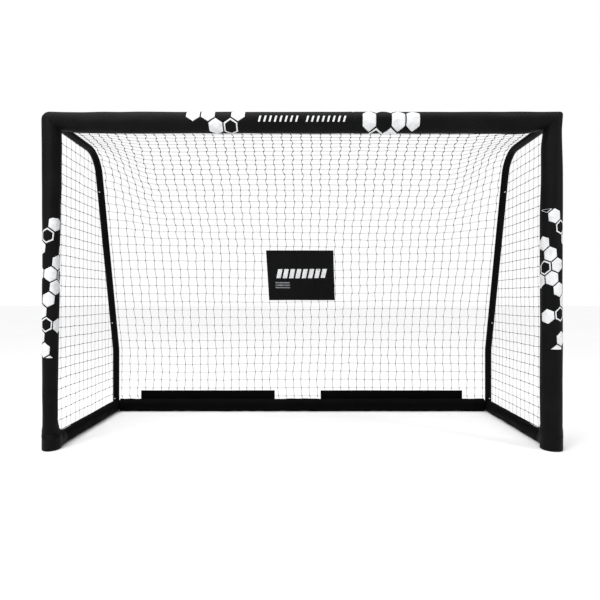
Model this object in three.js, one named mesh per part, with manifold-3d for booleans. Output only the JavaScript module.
// A training goal: a plug-together steel tube frame with a padded front and a knotted net.
// Units are millimetres. +X runs across the goal mouth, +Y from the mouth into the net, +Z up.
// The origin is on the ground, at the centre of the goal's footprint.

import * as THREE from "three";
import { mergeVertices } from "three/addons/utils/BufferGeometryUtils.js";
import Module from "manifold-3d";

const wasm = await Module();
wasm.setup();

// ---- Driving dimensions of the whole goal ----

const WIDTH = 2400; // outside of one post pad to the outside of the other
const HEIGHT = 1555; // ground to the top of the crossbar pad
const FRAME_DEPTH = 800; // post axis to the upright rear tubes
const PAD_RADIUS = 45; // crossbar and post pads, over the fabric cover
const GAP = 0.3; // between pieces that touch
const PAST_WALL = 3; // how far a drilled hole runs past each side of the wall it opens

// ---- Steel tube ----

const TUBE_RADIUS = 19;
const TUBE_WALL = 1.2;
const TUBE_BORE = TUBE_RADIUS - TUBE_WALL;
const STUB_RADIUS = 17.3; // a tube end swaged down to plug into the next tube
const STUB_BORE = STUB_RADIUS - TUBE_WALL;
const STUB_LENGTH = 85;
const TUBE_SIDES = 16;

// ---- Side frame, seen from the side ----

const ROOF_DEPTH = 512; // post axis to where the roof bar and the leg would meet
const LEG_BEND_HEIGHT = 380; // where the sloping leg turns upright
const BEND_RADIUS = 150;
const ELBOW_RADIUS = 60; // ground rail into the post
const UPPER_SEAM_HEIGHT = 1269; // lower end of the roof bow
const LOWER_SEAM_HEIGHT = 500; // lower end of the sloping leg
const GROUND_TUBE_HEIGHT = 33; // axis of the tubes that lie on the ground

// ---- Ends of the tubes, measured from the corner axis ----

const CORNER_ARM = 60; // full-size arms of the front top corner
const POST_SEAM_HEIGHT = 110; // lower end of the post tube
const LEG_FOOT_SEAM_HEIGHT = 55; // lower end of the upright rear tube
const REAR_ARM = 25; // full-size arm of the rear corner

// ---- Snap buttons and their leaf springs ----

const BUTTON_RADIUS = 4;
const BUTTON_TOP = TUBE_RADIUS + 3.5; // dome top, from the tube axis
const BUTTON_DOME = 1.6;
const FLANGE_RADIUS = 5.2;
const FLANGE_BOTTOM = 14.2;
const FLANGE_TOP = 14.9;
const BUTTON_HOLE_RADIUS = BUTTON_RADIUS + 0.35;
const BUTTON_SETBACK = 40; // tube end to button axis
const LOWER_LEG_SETBACK = 55;
const LEG_FOOT_SETBACK = 25;
const LEAF_THICKNESS = 0.8;
const LEAF_WIDTH = 9;
const LEAF_REACH = 40; // button axis to the fold of the leaf
const LEAF_LIP = 7; // flat end beyond the button axis
const LEAF_TOP = 13.5; // arm under the button, from the tube axis
const LEAF_BOTTOM = -14.6; // arm on the far wall
const LEAF_FOLD = 2; // half height and depth of the fold
const BUTTON_SIDES = 12;
const DOME_STEPS = 3;

// ---- Fabric, foam and net ----

const FABRIC = 1.2;
const PAD_SIDES = 24;
const FOAM_RADIUS = PAD_RADIUS - FABRIC - GAP;
const FOAM_BORE = TUBE_RADIUS + 0.5;
const FOAM_FOOT_HEIGHT = 125;
const POCKET_RADIUS = 7; // hollow in the foam over a snap button
const BOOT_REACH = 88; // post axis to the rear edge of the boot
const BOOT_HALF_WIDTH = 35;
const BOOT_HALF_HEIGHT = 36;
const GUSSET_HEIGHT = 120; // top of the web between post and boot
const GUSSET_HALF_WIDTH = 18;
const WEB_STEPS = 6; // straight runs in the curved edge of the web
const BOOT_CHAMFER = 8;
const SLEEVE_HALF_WIDTH = 29; // sleeve over the side ground rail
const SLEEVE_HALF_HEIGHT = GROUND_TUBE_HEIGHT;
const SLEEVE_TAIL = 24; // sleeve past the rear corner axis
const REAR_SLEEVE_HALF_WIDTH = 33;
const REAR_SLEEVE_HALF_HEIGHT = 37;
const FLAP_HEIGHT = 124; // top edge of the closing flaps, above the ground
const FLAP_THICKNESS = 2.5;
const FLAP_SETBACK = 14; // rear tube axis to the flaps
const FLAPS = [
  [-1005, -171],
  [115, 998],
]; // left and right ends of each flap
const NET_OFFSET = TUBE_RADIUS + 1; // tube axis to the net's inner face
const NET_START = PAD_RADIUS - 4; // post axis to the net's front edge, where the round pad falls away
const NET_THICKNESS = 1.6;
const NET_FOOT_HEIGHT = 68;
const PATCH_WIDTH = 400;
const PATCH_HEIGHT = 305;
const PATCH_CENTRE_X = -8;
const PATCH_CENTRE_HEIGHT = 830;
const PATCH_THICKNESS = 1.2;

// ---- Places worked out from the dimensions ----

const FOOTPRINT_DEPTH = PAD_RADIUS + FRAME_DEPTH + REAR_SLEEVE_HALF_WIDTH;
const POST_X = WIDTH / 2 - PAD_RADIUS;
const BAR_Z = HEIGHT - PAD_RADIUS;
const FRONT_Y = PAD_RADIUS - FOOTPRINT_DEPTH / 2;
const REAR_Y = FRONT_Y + FRAME_DEPTH;

const ALONG_X = new THREE.Vector3(1, 0, 0);
const ALONG_Y = new THREE.Vector3(0, 1, 0);
const ALONG_Z = new THREE.Vector3(0, 0, 1);
const INWARD = ALONG_X.clone().negate();
const FORWARD = ALONG_Y.clone().negate();
const DOWN = ALONG_Z.clone().negate();

const frontTop = new THREE.Vector3(POST_X, FRONT_Y, BAR_Z);
const frontFoot = new THREE.Vector3(POST_X, FRONT_Y, GROUND_TUBE_HEIGHT);
const rearFoot = new THREE.Vector3(POST_X, REAR_Y, GROUND_TUBE_HEIGHT);
const roofCorner = new THREE.Vector3(POST_X, FRONT_Y + ROOF_DEPTH, BAR_Z);
const legCorner = new THREE.Vector3(POST_X, REAR_Y, LEG_BEND_HEIGHT);
const downLeg = legCorner.clone().sub(roofCorner).normalize();
const legFront = new THREE.Vector3(0, downLeg.z, -downLeg.y); // square to the leg, facing the mouth

const along = (point, direction, distance) => point.clone().addScaledVector(direction, distance);
const onLeg = (height) => along(legCorner, downLeg, (height - LEG_BEND_HEIGHT) / downLeg.z);
const upperSeam = onLeg(UPPER_SEAM_HEIGHT);
const lowerSeam = onLeg(LOWER_SEAM_HEIGHT);

// ---- Solids ----

function solid(geometry) {
  const bare = geometry.index ? geometry.toNonIndexed() : geometry.clone();
  bare.deleteAttribute("normal");
  bare.deleteAttribute("uv");
  const merged = mergeVertices(bare, 1e-3);
  return new wasm.Manifold(
    new wasm.Mesh({
      numProp: 3,
      vertProperties: merged.attributes.position.array,
      triVerts: new Uint32Array(merged.index.array),
    }),
  );
}

function geometryOf(made) {
  const { vertProperties, triVerts } = made.getMesh();
  const indexed = new THREE.BufferGeometry();
  indexed.setAttribute("position", new THREE.BufferAttribute(vertProperties, 3));
  indexed.setIndex(new THREE.BufferAttribute(triVerts, 1));
  const flat = indexed.toNonIndexed();
  flat.computeVertexNormals();
  return flat;
}

const joined = (...solids) => solids.reduce((a, b) => a.add(b));
const cut = (body, ...tools) => tools.reduce((a, b) => a.subtract(b), body);

// A centre line of straight runs joined by round bends, with stations only where it turns.
class Route extends THREE.Curve {
  constructor(corners, radii = [], stepsPerBend = 6) {
    super();
    this.points = [corners[0].clone()];
    this.tangents = [corners[1].clone().sub(corners[0]).normalize()];
    for (let i = 1; i < corners.length - 1; i++) {
      const before = corners[i].clone().sub(corners[i - 1]).normalize();
      const after = corners[i + 1].clone().sub(corners[i]).normalize();
      const angle = before.angleTo(after);
      const axis = before.clone().cross(after).normalize();
      const radius = radii[i - 1];
      const start = along(corners[i], before, -radius * Math.tan(angle / 2));
      const spoke = axis.clone().cross(before).multiplyScalar(radius);
      const centre = start.clone().add(spoke);
      for (let k = 0; k <= stepsPerBend; k++) {
        const turn = (angle * k) / stepsPerBend;
        this.points.push(centre.clone().sub(spoke.clone().applyAxisAngle(axis, turn)));
        this.tangents.push(before.clone().applyAxisAngle(axis, turn));
      }
    }
    this.points.push(corners.at(-1).clone());
    this.tangents.push(this.tangents.at(-1).clone());
  }
  get steps() {
    return this.points.length - 1;
  }
  getPointAt(share) {
    return this.points[Math.round(share * this.steps)].clone();
  }
  getTangentAt(share) {
    return this.tangents[Math.round(share * this.steps)].clone();
  }
}

// An oval with half axes a and b: carried along a level line, a is its half height.
const oval = (a, b, sides) =>
  new THREE.Shape(
    Array.from({ length: sides }, (_, i) => {
      const angle = (2 * Math.PI * i) / sides;
      return new THREE.Vector2(a * Math.cos(angle), b * Math.sin(angle));
    }),
  );

const swept = (route, section) =>
  solid(
    new THREE.ExtrudeGeometry(section, {
      steps: route.steps,
      bevelEnabled: false,
      extrudePath: route,
    }),
  );

const bar = (from, to, a, b = a, sides = TUBE_SIDES) =>
  swept(new Route([from, to]), oval(a, b, sides));

const ball = (centre, radius) =>
  solid(new THREE.SphereGeometry(radius, TUBE_SIDES, TUBE_SIDES / 2).translate(...centre));

// A flat outline of [Y, Z] points, made thick along X.
function slab(outline, fromX, toX) {
  const shape = new THREE.Shape(outline.map(([y, z]) => new THREE.Vector2(y, z)));
  const geometry = new THREE.ExtrudeGeometry(shape, { depth: toX - fromX, bevelEnabled: false });
  const turned = new THREE.Matrix4().makeBasis(ALONG_Y, ALONG_Z, ALONG_X);
  return solid(geometry.applyMatrix4(turned.setPosition(fromX, 0, 0)));
}

// ---- Tube members ----

// A swaged end that plugs into the next tube: its outer and inner solids, from root to tip.
function stub(from, direction, rootDepth = TUBE_RADIUS) {
  const root = along(from, direction, -rootDepth);
  const tip = along(from, direction, STUB_LENGTH);
  return {
    outer: bar(root, tip, STUB_RADIUS),
    inner: bar(root, along(tip, direction, 1), STUB_BORE),
  };
}

function buttonHole({ at, out }) {
  const from = along(at, out, STUB_BORE - PAST_WALL);
  const to = along(at, out, TUBE_RADIUS + PAST_WALL);
  return bar(from, to, BUTTON_HOLE_RADIUS, BUTTON_HOLE_RADIUS, BUTTON_SIDES);
}

// A hollow member: its outer solids less its bores, drilled for its snap buttons.
function member(outers, bores, snaps) {
  return cut(joined(...outers), joined(...bores), ...snaps.map(buttonHole));
}

// Each snap: the point on the tube axis, the way the button faces, and the way its leaf runs.
const snap = (at, out, leaf) => ({ at, out, leaf });
const snaps = {
  crossbar_end: snap(along(frontTop, INWARD, CORNER_ARM + BUTTON_SETBACK), DOWN, ALONG_X),
  post_top: snap(along(frontTop, DOWN, CORNER_ARM + BUTTON_SETBACK), INWARD, ALONG_Z),
  post_foot: snap(
    new THREE.Vector3(POST_X, FRONT_Y, POST_SEAM_HEIGHT + BUTTON_SETBACK),
    INWARD,
    DOWN,
  ),
  upper_leg: snap(along(upperSeam, downLeg, -BUTTON_SETBACK), legFront, downLeg),
  lower_leg: snap(along(lowerSeam, downLeg, -LOWER_LEG_SETBACK), legFront, downLeg),
  leg_foot: snap(
    new THREE.Vector3(POST_X, REAR_Y, LEG_FOOT_SEAM_HEIGHT + LEG_FOOT_SETBACK),
    FORWARD,
    DOWN,
  ),
  rear_rail_end: snap(along(rearFoot, INWARD, REAR_ARM + BUTTON_SETBACK), FORWARD, ALONG_X),
};
const middleSnaps = {
  crossbar_middle: snap(new THREE.Vector3(-BUTTON_SETBACK, FRONT_Y, BAR_Z), DOWN, ALONG_X),
  rear_rail_middle: snap(
    new THREE.Vector3(-BUTTON_SETBACK, REAR_Y, GROUND_TUBE_HEIGHT),
    FORWARD,
    ALONG_X,
  ),
};

// Roof bar bent down into the leg, with two arms at the front top corner.
function roofBow() {
  const route = new Route([frontTop, roofCorner, upperSeam], [BEND_RADIUS]);
  const longer = new Route([frontTop, roofCorner, along(upperSeam, downLeg, 1)], [BEND_RADIUS]);
  const armX = along(frontTop, INWARD, CORNER_ARM);
  const armZ = along(frontTop, DOWN, CORNER_ARM);
  const stubs = [stub(armX, INWARD, CORNER_ARM), stub(armZ, DOWN, CORNER_ARM)];
  return member(
    [
      ball(frontTop, TUBE_RADIUS),
      swept(route, oval(TUBE_RADIUS, TUBE_RADIUS, TUBE_SIDES)),
      bar(frontTop, armX, TUBE_RADIUS),
      bar(frontTop, armZ, TUBE_RADIUS),
      ...stubs.map((s) => s.outer),
    ],
    [
      ball(frontTop, TUBE_BORE),
      swept(longer, oval(TUBE_BORE, TUBE_BORE, TUBE_SIDES)),
      ...stubs.map((s) => s.inner),
    ],
    [snaps.crossbar_end, snaps.post_top, snaps.upper_leg],
  );
}

// A straight tube, plain at its start and optionally swaged at its end.
function straightTube(from, to, drilled, swaged) {
  const direction = to.clone().sub(from).normalize();
  const boreEnd = along(to, direction, swaged ? 1 - TUBE_RADIUS : 1);
  const outers = [bar(from, to, TUBE_RADIUS)];
  const bores = [bar(along(from, direction, -1), boreEnd, TUBE_BORE)];
  if (swaged) {
    const end = stub(to, direction);
    outers.push(end.outer);
    bores.push(end.inner);
  }
  return member(outers, bores, drilled);
}

// The upright rear tube: a gentle bend under the sloping leg, swaged at the top.
function lowerLeg() {
  const foot = new THREE.Vector3(POST_X, REAR_Y, LEG_FOOT_SEAM_HEIGHT + GAP);
  const route = new Route([lowerSeam, legCorner, foot], [BEND_RADIUS], 4);
  const longer = new Route(
    [along(lowerSeam, downLeg, TUBE_RADIUS - 1), legCorner, along(foot, DOWN, 1)],
    [BEND_RADIUS],
    4,
  );
  const top = stub(lowerSeam, downLeg.clone().negate());
  return member(
    [swept(route, oval(TUBE_RADIUS, TUBE_RADIUS, TUBE_SIDES)), top.outer],
    [swept(longer, oval(TUBE_BORE, TUBE_BORE, TUBE_SIDES)), top.inner],
    [snaps.lower_leg, snaps.leg_foot],
  );
}

// The side ground rail: an elbow up into the post, a rear corner with two plug ends.
function sideRail() {
  const top = new THREE.Vector3(POST_X, FRONT_Y, POST_SEAM_HEIGHT);
  const boreTop = along(top, DOWN, TUBE_RADIUS - 1);
  const route = new Route([top, frontFoot, rearFoot], [ELBOW_RADIUS]);
  const boreRoute = new Route([boreTop, frontFoot, rearFoot], [ELBOW_RADIUS]);
  const armX = along(rearFoot, INWARD, REAR_ARM);
  const armZ = new THREE.Vector3(POST_X, REAR_Y, LEG_FOOT_SEAM_HEIGHT);
  const stubs = [
    stub(top, ALONG_Z),
    stub(armX, INWARD, REAR_ARM),
    stub(armZ, ALONG_Z, LEG_FOOT_SEAM_HEIGHT - GROUND_TUBE_HEIGHT),
  ];
  return member(
    [
      swept(route, oval(TUBE_RADIUS, TUBE_RADIUS, TUBE_SIDES)),
      ball(rearFoot, TUBE_RADIUS),
      bar(rearFoot, armX, TUBE_RADIUS),
      bar(rearFoot, armZ, TUBE_RADIUS),
      ...stubs.map((s) => s.outer),
    ],
    [
      swept(boreRoute, oval(TUBE_BORE, TUBE_BORE, TUBE_SIDES)),
      ball(rearFoot, TUBE_BORE),
      ...stubs.map((s) => s.inner),
    ],
    [snaps.post_foot, snaps.leg_foot, snaps.rear_rail_end],
  );
}

// ---- Snap button and leaf spring, on their own axes: +Y out of the tube, +X along the leaf ----

function button() {
  const dome = Array.from({ length: DOME_STEPS + 1 }, (_, i) => {
    const angle = (Math.PI / 2) * (i / DOME_STEPS);
    return new THREE.Vector2(
      i === DOME_STEPS ? 0 : BUTTON_RADIUS * Math.cos(angle),
      BUTTON_TOP - BUTTON_DOME * (1 - Math.sin(angle)),
    );
  });
  const profile = [
    new THREE.Vector2(0, FLANGE_BOTTOM),
    new THREE.Vector2(FLANGE_RADIUS, FLANGE_BOTTOM),
    new THREE.Vector2(FLANGE_RADIUS, FLANGE_TOP),
    new THREE.Vector2(BUTTON_RADIUS, FLANGE_TOP),
    ...dome,
  ];
  return new THREE.LatheGeometry(profile, BUTTON_SIDES);
}

// A folded strip: the centre line offset both ways by half the thickness, square to each corner.
function leafSpring() {
  const line = [
    [-LEAF_LIP, LEAF_TOP],
    [LEAF_LIP, LEAF_TOP],
    [LEAF_REACH - LEAF_FOLD, LEAF_FOLD],
    [LEAF_REACH, 0],
    [LEAF_REACH - LEAF_FOLD, -LEAF_FOLD],
    [LEAF_LIP, LEAF_BOTTOM],
    [-LEAF_LIP, LEAF_BOTTOM],
  ].map(([x, y]) => new THREE.Vector2(x, y));
  const normal = (a, b) => new THREE.Vector2(a.y - b.y, b.x - a.x).normalize();
  const side = (sign) =>
    line.map((p, i) => {
      const before = normal(line[Math.max(i - 1, 0)], line[Math.max(i, 1)]);
      const next = Math.min(i + 1, line.length - 1);
      const after = normal(line[next - 1], line[next]);
      const mitre = before.clone().add(after).normalize();
      return p.clone().addScaledVector(mitre, (sign * LEAF_THICKNESS) / 2 / mitre.dot(before));
    });
  const shape = new THREE.Shape([...side(1), ...side(-1).reverse()]);
  const geometry = new THREE.ExtrudeGeometry(shape, { depth: LEAF_WIDTH, bevelEnabled: false });
  return geometry.translate(0, 0, -LEAF_WIDTH / 2);
}

// ---- Pads, covers and sleeves ----

// A block on one side of a top corner's mitre plane: the crossbar's side, or the post's.
function mitreBlock(side, forCrossbar) {
  const size = 8 * PAD_RADIUS;
  const towards = new THREE.Vector3(-side, 0, 1).normalize().multiplyScalar(forCrossbar ? 1 : -1);
  const block = new THREE.BoxGeometry(size, size, size).rotateY(Math.PI / 4);
  const centre = new THREE.Vector3(side * POST_X, FRONT_Y, BAR_Z);
  return solid(block.translate(...along(centre, towards, size / 2 - GAP / 2)));
}

// The hole that a roof bar passes through at a top corner.
function roofBarHole(side, radius) {
  const centre = new THREE.Vector3(side * POST_X, FRONT_Y, BAR_Z);
  return bar(centre, along(centre, ALONG_Y, 2 * PAD_RADIUS), radius);
}

const pocket = ({ at, out }) => bar(at, along(at, out, BUTTON_TOP + 1), POCKET_RADIUS);

function crossbarRound(radius) {
  const left = new THREE.Vector3(-WIDTH / 2, FRONT_Y, BAR_Z);
  const right = new THREE.Vector3(WIDTH / 2, FRONT_Y, BAR_Z);
  return bar(left, right, radius, radius, PAD_SIDES);
}

function crossbarCover() {
  return cut(
    crossbarRound(PAD_RADIUS),
    crossbarRound(PAD_RADIUS - FABRIC),
    ...[-1, 1].flatMap((side) => [mitreBlock(side, false), roofBarHole(side, FOAM_BORE)]),
  );
}

function crossbarFoam() {
  const mirrored = ({ at, out }) => ({ at: new THREE.Vector3(-at.x, at.y, at.z), out });
  return cut(
    crossbarRound(FOAM_RADIUS),
    bar(
      new THREE.Vector3(-WIDTH / 2, FRONT_Y, BAR_Z),
      new THREE.Vector3(WIDTH / 2, FRONT_Y, BAR_Z),
      FOAM_BORE,
    ),
    ...[-1, 1].flatMap((side) => [mitreBlock(side, false), roofBarHole(side, FOAM_BORE)]),
    ...[-1, 1].map((side) => {
      const corner = new THREE.Vector3(side * POST_X, FRONT_Y, BAR_Z);
      return bar(along(corner, DOWN, 2 * PAD_RADIUS), corner, FOAM_BORE);
    }),
    ...[-1, 1].map((side) => ball(new THREE.Vector3(side * POST_X, FRONT_Y, BAR_Z), FOAM_BORE)),
    pocket(snaps.crossbar_end),
    pocket(mirrored(snaps.crossbar_end)),
    pocket(middleSnaps.crossbar_middle),
  );
}

const postRound = (radius, fromZ) =>
  bar(
    new THREE.Vector3(POST_X, FRONT_Y, fromZ),
    new THREE.Vector3(POST_X, FRONT_Y, HEIGHT),
    radius,
    radius,
    PAD_SIDES,
  );

// The post's cover ends in a boot that wraps the elbow, with a web in the inner corner.
function postCover() {
  const bootLine = (reach, shrink) =>
    bar(
      new THREE.Vector3(POST_X, FRONT_Y, BOOT_HALF_HEIGHT),
      new THREE.Vector3(POST_X, FRONT_Y + reach, BOOT_HALF_HEIGHT),
      BOOT_HALF_HEIGHT - shrink,
      BOOT_HALF_WIDTH - shrink,
      PAD_SIDES,
    );
  const bottom = new THREE.LatheGeometry(
    [
      new THREE.Vector2(0, 0),
      new THREE.Vector2(PAD_RADIUS - BOOT_CHAMFER, 0),
      new THREE.Vector2(PAD_RADIUS, BOOT_CHAMFER),
      new THREE.Vector2(PAD_RADIUS, 2 * BOOT_CHAMFER),
      new THREE.Vector2(0, 2 * BOOT_CHAMFER),
    ],
    PAD_SIDES,
  );
  bottom.rotateX(Math.PI / 2).translate(POST_X, FRONT_Y, 0);
  const webTop = GUSSET_HEIGHT - 2 * BOOT_HALF_HEIGHT;
  const web = Array.from({ length: WEB_STEPS + 1 }, (_, i) => {
    const angle = (Math.PI / 2) * (i / WEB_STEPS);
    return [
      FRONT_Y + BOOT_REACH - (BOOT_REACH - PAD_RADIUS) * Math.sin(angle),
      GUSSET_HEIGHT - webTop * Math.cos(angle),
    ];
  });
  const base = [FRONT_Y, GUSSET_HEIGHT];
  const foot = [FRONT_Y, BOOT_HALF_HEIGHT];
  const heel = [FRONT_Y + BOOT_REACH, BOOT_HALF_HEIGHT];
  const gusset = slab(
    [foot, heel, ...web, base],
    POST_X - GUSSET_HALF_WIDTH,
    POST_X + GUSSET_HALF_WIDTH,
  );
  return cut(
    joined(postRound(PAD_RADIUS, 2 * BOOT_CHAMFER - 1), solid(bottom), bootLine(BOOT_REACH, 0), gusset),
    postRound(PAD_RADIUS - FABRIC, BOOT_CHAMFER),
    bootLine(BOOT_REACH + 1, FABRIC),
    mitreBlock(1, true),
    roofBarHole(1, FOAM_BORE),
  );
}

function postFoam() {
  return cut(
    postRound(FOAM_RADIUS, FOAM_FOOT_HEIGHT),
    postRound(FOAM_BORE, FOAM_FOOT_HEIGHT - 1),
    mitreBlock(1, true),
    roofBarHole(1, FOAM_BORE),
    bar(along(frontTop, INWARD, 2 * PAD_RADIUS), frontTop, FOAM_BORE),
    ball(frontTop, FOAM_BORE),
    pocket(snaps.post_top),
    pocket(snaps.post_foot),
  );
}

// The sleeve over a side rail wraps the rear corner; the upright tube and rear rail leave it.
function sideSleeve() {
  const front = new THREE.Vector3(POST_X, FRONT_Y + BOOT_REACH + GAP, SLEEVE_HALF_HEIGHT);
  const rear = new THREE.Vector3(POST_X, REAR_Y + SLEEVE_TAIL, SLEEVE_HALF_HEIGHT);
  const hollow = [along(front, ALONG_Y, -1), along(rear, ALONG_Y, -FABRIC)];
  return cut(
    bar(front, rear, SLEEVE_HALF_HEIGHT, SLEEVE_HALF_WIDTH, PAD_SIDES),
    bar(...hollow, SLEEVE_HALF_HEIGHT - FABRIC, SLEEVE_HALF_WIDTH - FABRIC, PAD_SIDES),
    bar(rearFoot, along(rearFoot, ALONG_Z, 2 * TUBE_RADIUS), FOAM_BORE),
    bar(along(rearFoot, INWARD, 2 * TUBE_RADIUS), rearFoot, FOAM_BORE),
  );
}

// The rear sleeve lies on the ground between the side sleeves, with two flaps that close it.
function rearSleeve() {
  const reach = POST_X - SLEEVE_HALF_WIDTH - 1;
  const line = (x) => [
    new THREE.Vector3(-x, REAR_Y, REAR_SLEEVE_HALF_HEIGHT),
    new THREE.Vector3(x, REAR_Y, REAR_SLEEVE_HALF_HEIGHT),
  ];
  const flapY = REAR_Y + FLAP_SETBACK;
  const outline = [
    [flapY, REAR_SLEEVE_HALF_HEIGHT],
    [flapY + FLAP_THICKNESS, REAR_SLEEVE_HALF_HEIGHT],
    [flapY + FLAP_THICKNESS, FLAP_HEIGHT],
    [flapY, FLAP_HEIGHT],
  ];
  return cut(
    joined(
      bar(...line(reach), REAR_SLEEVE_HALF_HEIGHT, REAR_SLEEVE_HALF_WIDTH, PAD_SIDES),
      ...FLAPS.map(([from, to]) => slab(outline, from, to)),
    ),
    bar(
      ...line(reach + 1),
      REAR_SLEEVE_HALF_HEIGHT - FABRIC,
      REAR_SLEEVE_HALF_WIDTH - FABRIC,
      PAD_SIDES,
    ),
  );
}

// ---- Net panels ----

// The side frame's line moved outwards, as [Y, Z] points: roof bar, bend, leg, lower bend, upright.
function sideLine(offset) {
  const point = (v, tangent) => [v.y + tangent.z * -offset, v.z + tangent.y * offset];
  const foot = new THREE.Vector3(POST_X, REAR_Y, NET_FOOT_HEIGHT);
  const start = new THREE.Vector3(POST_X, FRONT_Y + NET_START, BAR_Z);
  const route = new Route([start, roofCorner, legCorner, foot], [BEND_RADIUS, BEND_RADIUS]);
  return route.points.map((p, i) => point(p, route.tangents[i]));
}

// A panel between the inner and outer net lines, from one station of the side line to another.
function netPanel(first, last) {
  const inner = sideLine(NET_OFFSET).slice(first, last);
  const outer = sideLine(NET_OFFSET + NET_THICKNESS).slice(first, last);
  const half = POST_X + NET_OFFSET + NET_THICKNESS;
  return slab([...inner, ...outer.reverse()], -half, half);
}

const ROOF_STATIONS = 8; // start of the roof, then the seven stations of its bend

// Turns a box so that it lies along the sloping leg: its Y square to the leg, its Z up the leg.
const onLegPlane = () =>
  new THREE.Matrix4().makeBasis(ALONG_X, legFront.clone().negate(), downLeg.clone().negate());

// The back net starts one gap below the roof net's edge, where the roof bends into the leg.
function backNet() {
  const seam = new THREE.BoxGeometry(3 * WIDTH, NET_THICKNESS * 8, 2 * GAP)
    .applyMatrix4(onLegPlane())
    .translate(0, ...sideLine(NET_OFFSET)[ROOF_STATIONS - 1]);
  return cut(netPanel(ROOF_STATIONS - 1, undefined), solid(seam));
}

function sideNet() {
  const line = sideLine(NET_OFFSET - 2 * GAP);
  const outline = [[FRONT_Y + NET_START, NET_FOOT_HEIGHT], ...line.reverse()];
  return slab(outline, POST_X + NET_OFFSET, POST_X + NET_OFFSET + NET_THICKNESS);
}

// The fabric patch lies on the inner face of the back net.
function patch() {
  const centre = onLeg(PATCH_CENTRE_HEIGHT).setX(PATCH_CENTRE_X);
  const box = new THREE.BoxGeometry(PATCH_WIDTH, PATCH_THICKNESS, PATCH_HEIGHT);
  const place = along(centre, legFront, -(NET_OFFSET - GAP - PATCH_THICKNESS / 2));
  return solid(box.applyMatrix4(onLegPlane().setPosition(...place)));
}

// ---- The goal, as named meshes ----

const finishes = {
  tube: { color: 0x121214, roughness: 0.42, metalness: 0.3 },
  button: { color: 0xc8cbd0, roughness: 0.22, metalness: 1 },
  leaf: { color: 0x7c8086, roughness: 0.4, metalness: 1 },
  cover: { color: 0x18181a, roughness: 0.9, metalness: 0 },
  foam: { color: 0x2b2b2e, roughness: 1, metalness: 0 },
  net: { color: 0x1c1c1e, roughness: 0.85, metalness: 0 },
  patch: { color: 0x0b0b0c, roughness: 0.9, metalness: 0 },
};

const goal = new THREE.Group();

function add(group, name, geometry, finish) {
  const mesh = new THREE.Mesh(geometry, new THREE.MeshStandardMaterial(finishes[finish]));
  mesh.name = name;
  group.add(mesh);
  return mesh;
}

const buttonGeometry = button();
const leafGeometry = leafSpring();

function addSnap(group, name, { at, out, leaf }) {
  const across = leaf.clone().cross(out);
  const seat = new THREE.Group();
  seat.setRotationFromMatrix(new THREE.Matrix4().makeBasis(leaf, out, across));
  seat.position.copy(at);
  add(seat, name + "_button", buttonGeometry, "button");
  add(seat, name + "_leaf", leafGeometry, "leaf");
  group.add(seat);
}

const legTop = along(upperSeam, downLeg, GAP);
const legEnd = along(lowerSeam, downLeg, -GAP);
const sidePieces = {
  roof_bow: [roofBow(), "tube"],
  post_tube: [
    straightTube(
      new THREE.Vector3(POST_X, FRONT_Y, POST_SEAM_HEIGHT + GAP),
      along(frontTop, DOWN, CORNER_ARM + GAP),
      [snaps.post_foot, snaps.post_top],
      false,
    ),
    "tube",
  ],
  back_leg: [straightTube(legEnd, legTop, [snaps.lower_leg, snaps.upper_leg], true), "tube"],
  lower_leg: [lowerLeg(), "tube"],
  side_rail: [sideRail(), "tube"],
  post_foam: [postFoam(), "foam"],
  post_cover: [postCover(), "cover"],
  side_sleeve: [sideSleeve(), "cover"],
  side_net: [sideNet(), "net"],
};
const sideGeometry = Object.fromEntries(
  Object.entries(sidePieces).map(([name, [made]]) => [name, geometryOf(made)]),
);

for (const side of ["left", "right"]) {
  const half = new THREE.Group();
  half.scale.x = side === "left" ? -1 : 1;
  for (const [name, [, finish]] of Object.entries(sidePieces)) {
    add(half, name + "_" + side, sideGeometry[name], finish);
  }
  for (const [name, place] of Object.entries(snaps)) addSnap(half, name + "_" + side, place);
  goal.add(half);
}

// Crossbar and rear rail: a plain left half, and a right half that plugs into it.
const halves = [
  ["crossbar_tube", frontTop, CORNER_ARM, snaps.crossbar_end, middleSnaps.crossbar_middle],
  ["rear_rail", rearFoot, REAR_ARM, snaps.rear_rail_end, middleSnaps.rear_rail_middle],
];
for (const [name, corner, arm, endSnap, middleSnap] of halves) {
  const middle = corner.clone().setX(0);
  const rightEnd = along(corner, INWARD, arm + GAP);
  const leftEnd = rightEnd.clone().setX(-rightEnd.x);
  const leftSnap = { ...endSnap, at: endSnap.at.clone().setX(-endSnap.at.x) };
  const left = straightTube(leftEnd, middle, [leftSnap, middleSnap], false);
  const right = straightTube(rightEnd, along(middle, ALONG_X, GAP), [endSnap, middleSnap], true);
  add(goal, name + "_left", geometryOf(left), "tube");
  add(goal, name + "_right", geometryOf(right), "tube");
}
for (const [name, place] of Object.entries(middleSnaps)) addSnap(goal, name, place);

add(goal, "crossbar_foam", geometryOf(crossbarFoam()), "foam");
add(goal, "crossbar_cover", geometryOf(crossbarCover()), "cover");
add(goal, "rear_sleeve", geometryOf(rearSleeve()), "cover");
add(goal, "roof_net", geometryOf(netPanel(0, ROOF_STATIONS)), "net");
add(goal, "back_net", geometryOf(backNet()), "net");
add(goal, "target_patch", geometryOf(patch()), "patch");

export default goal;
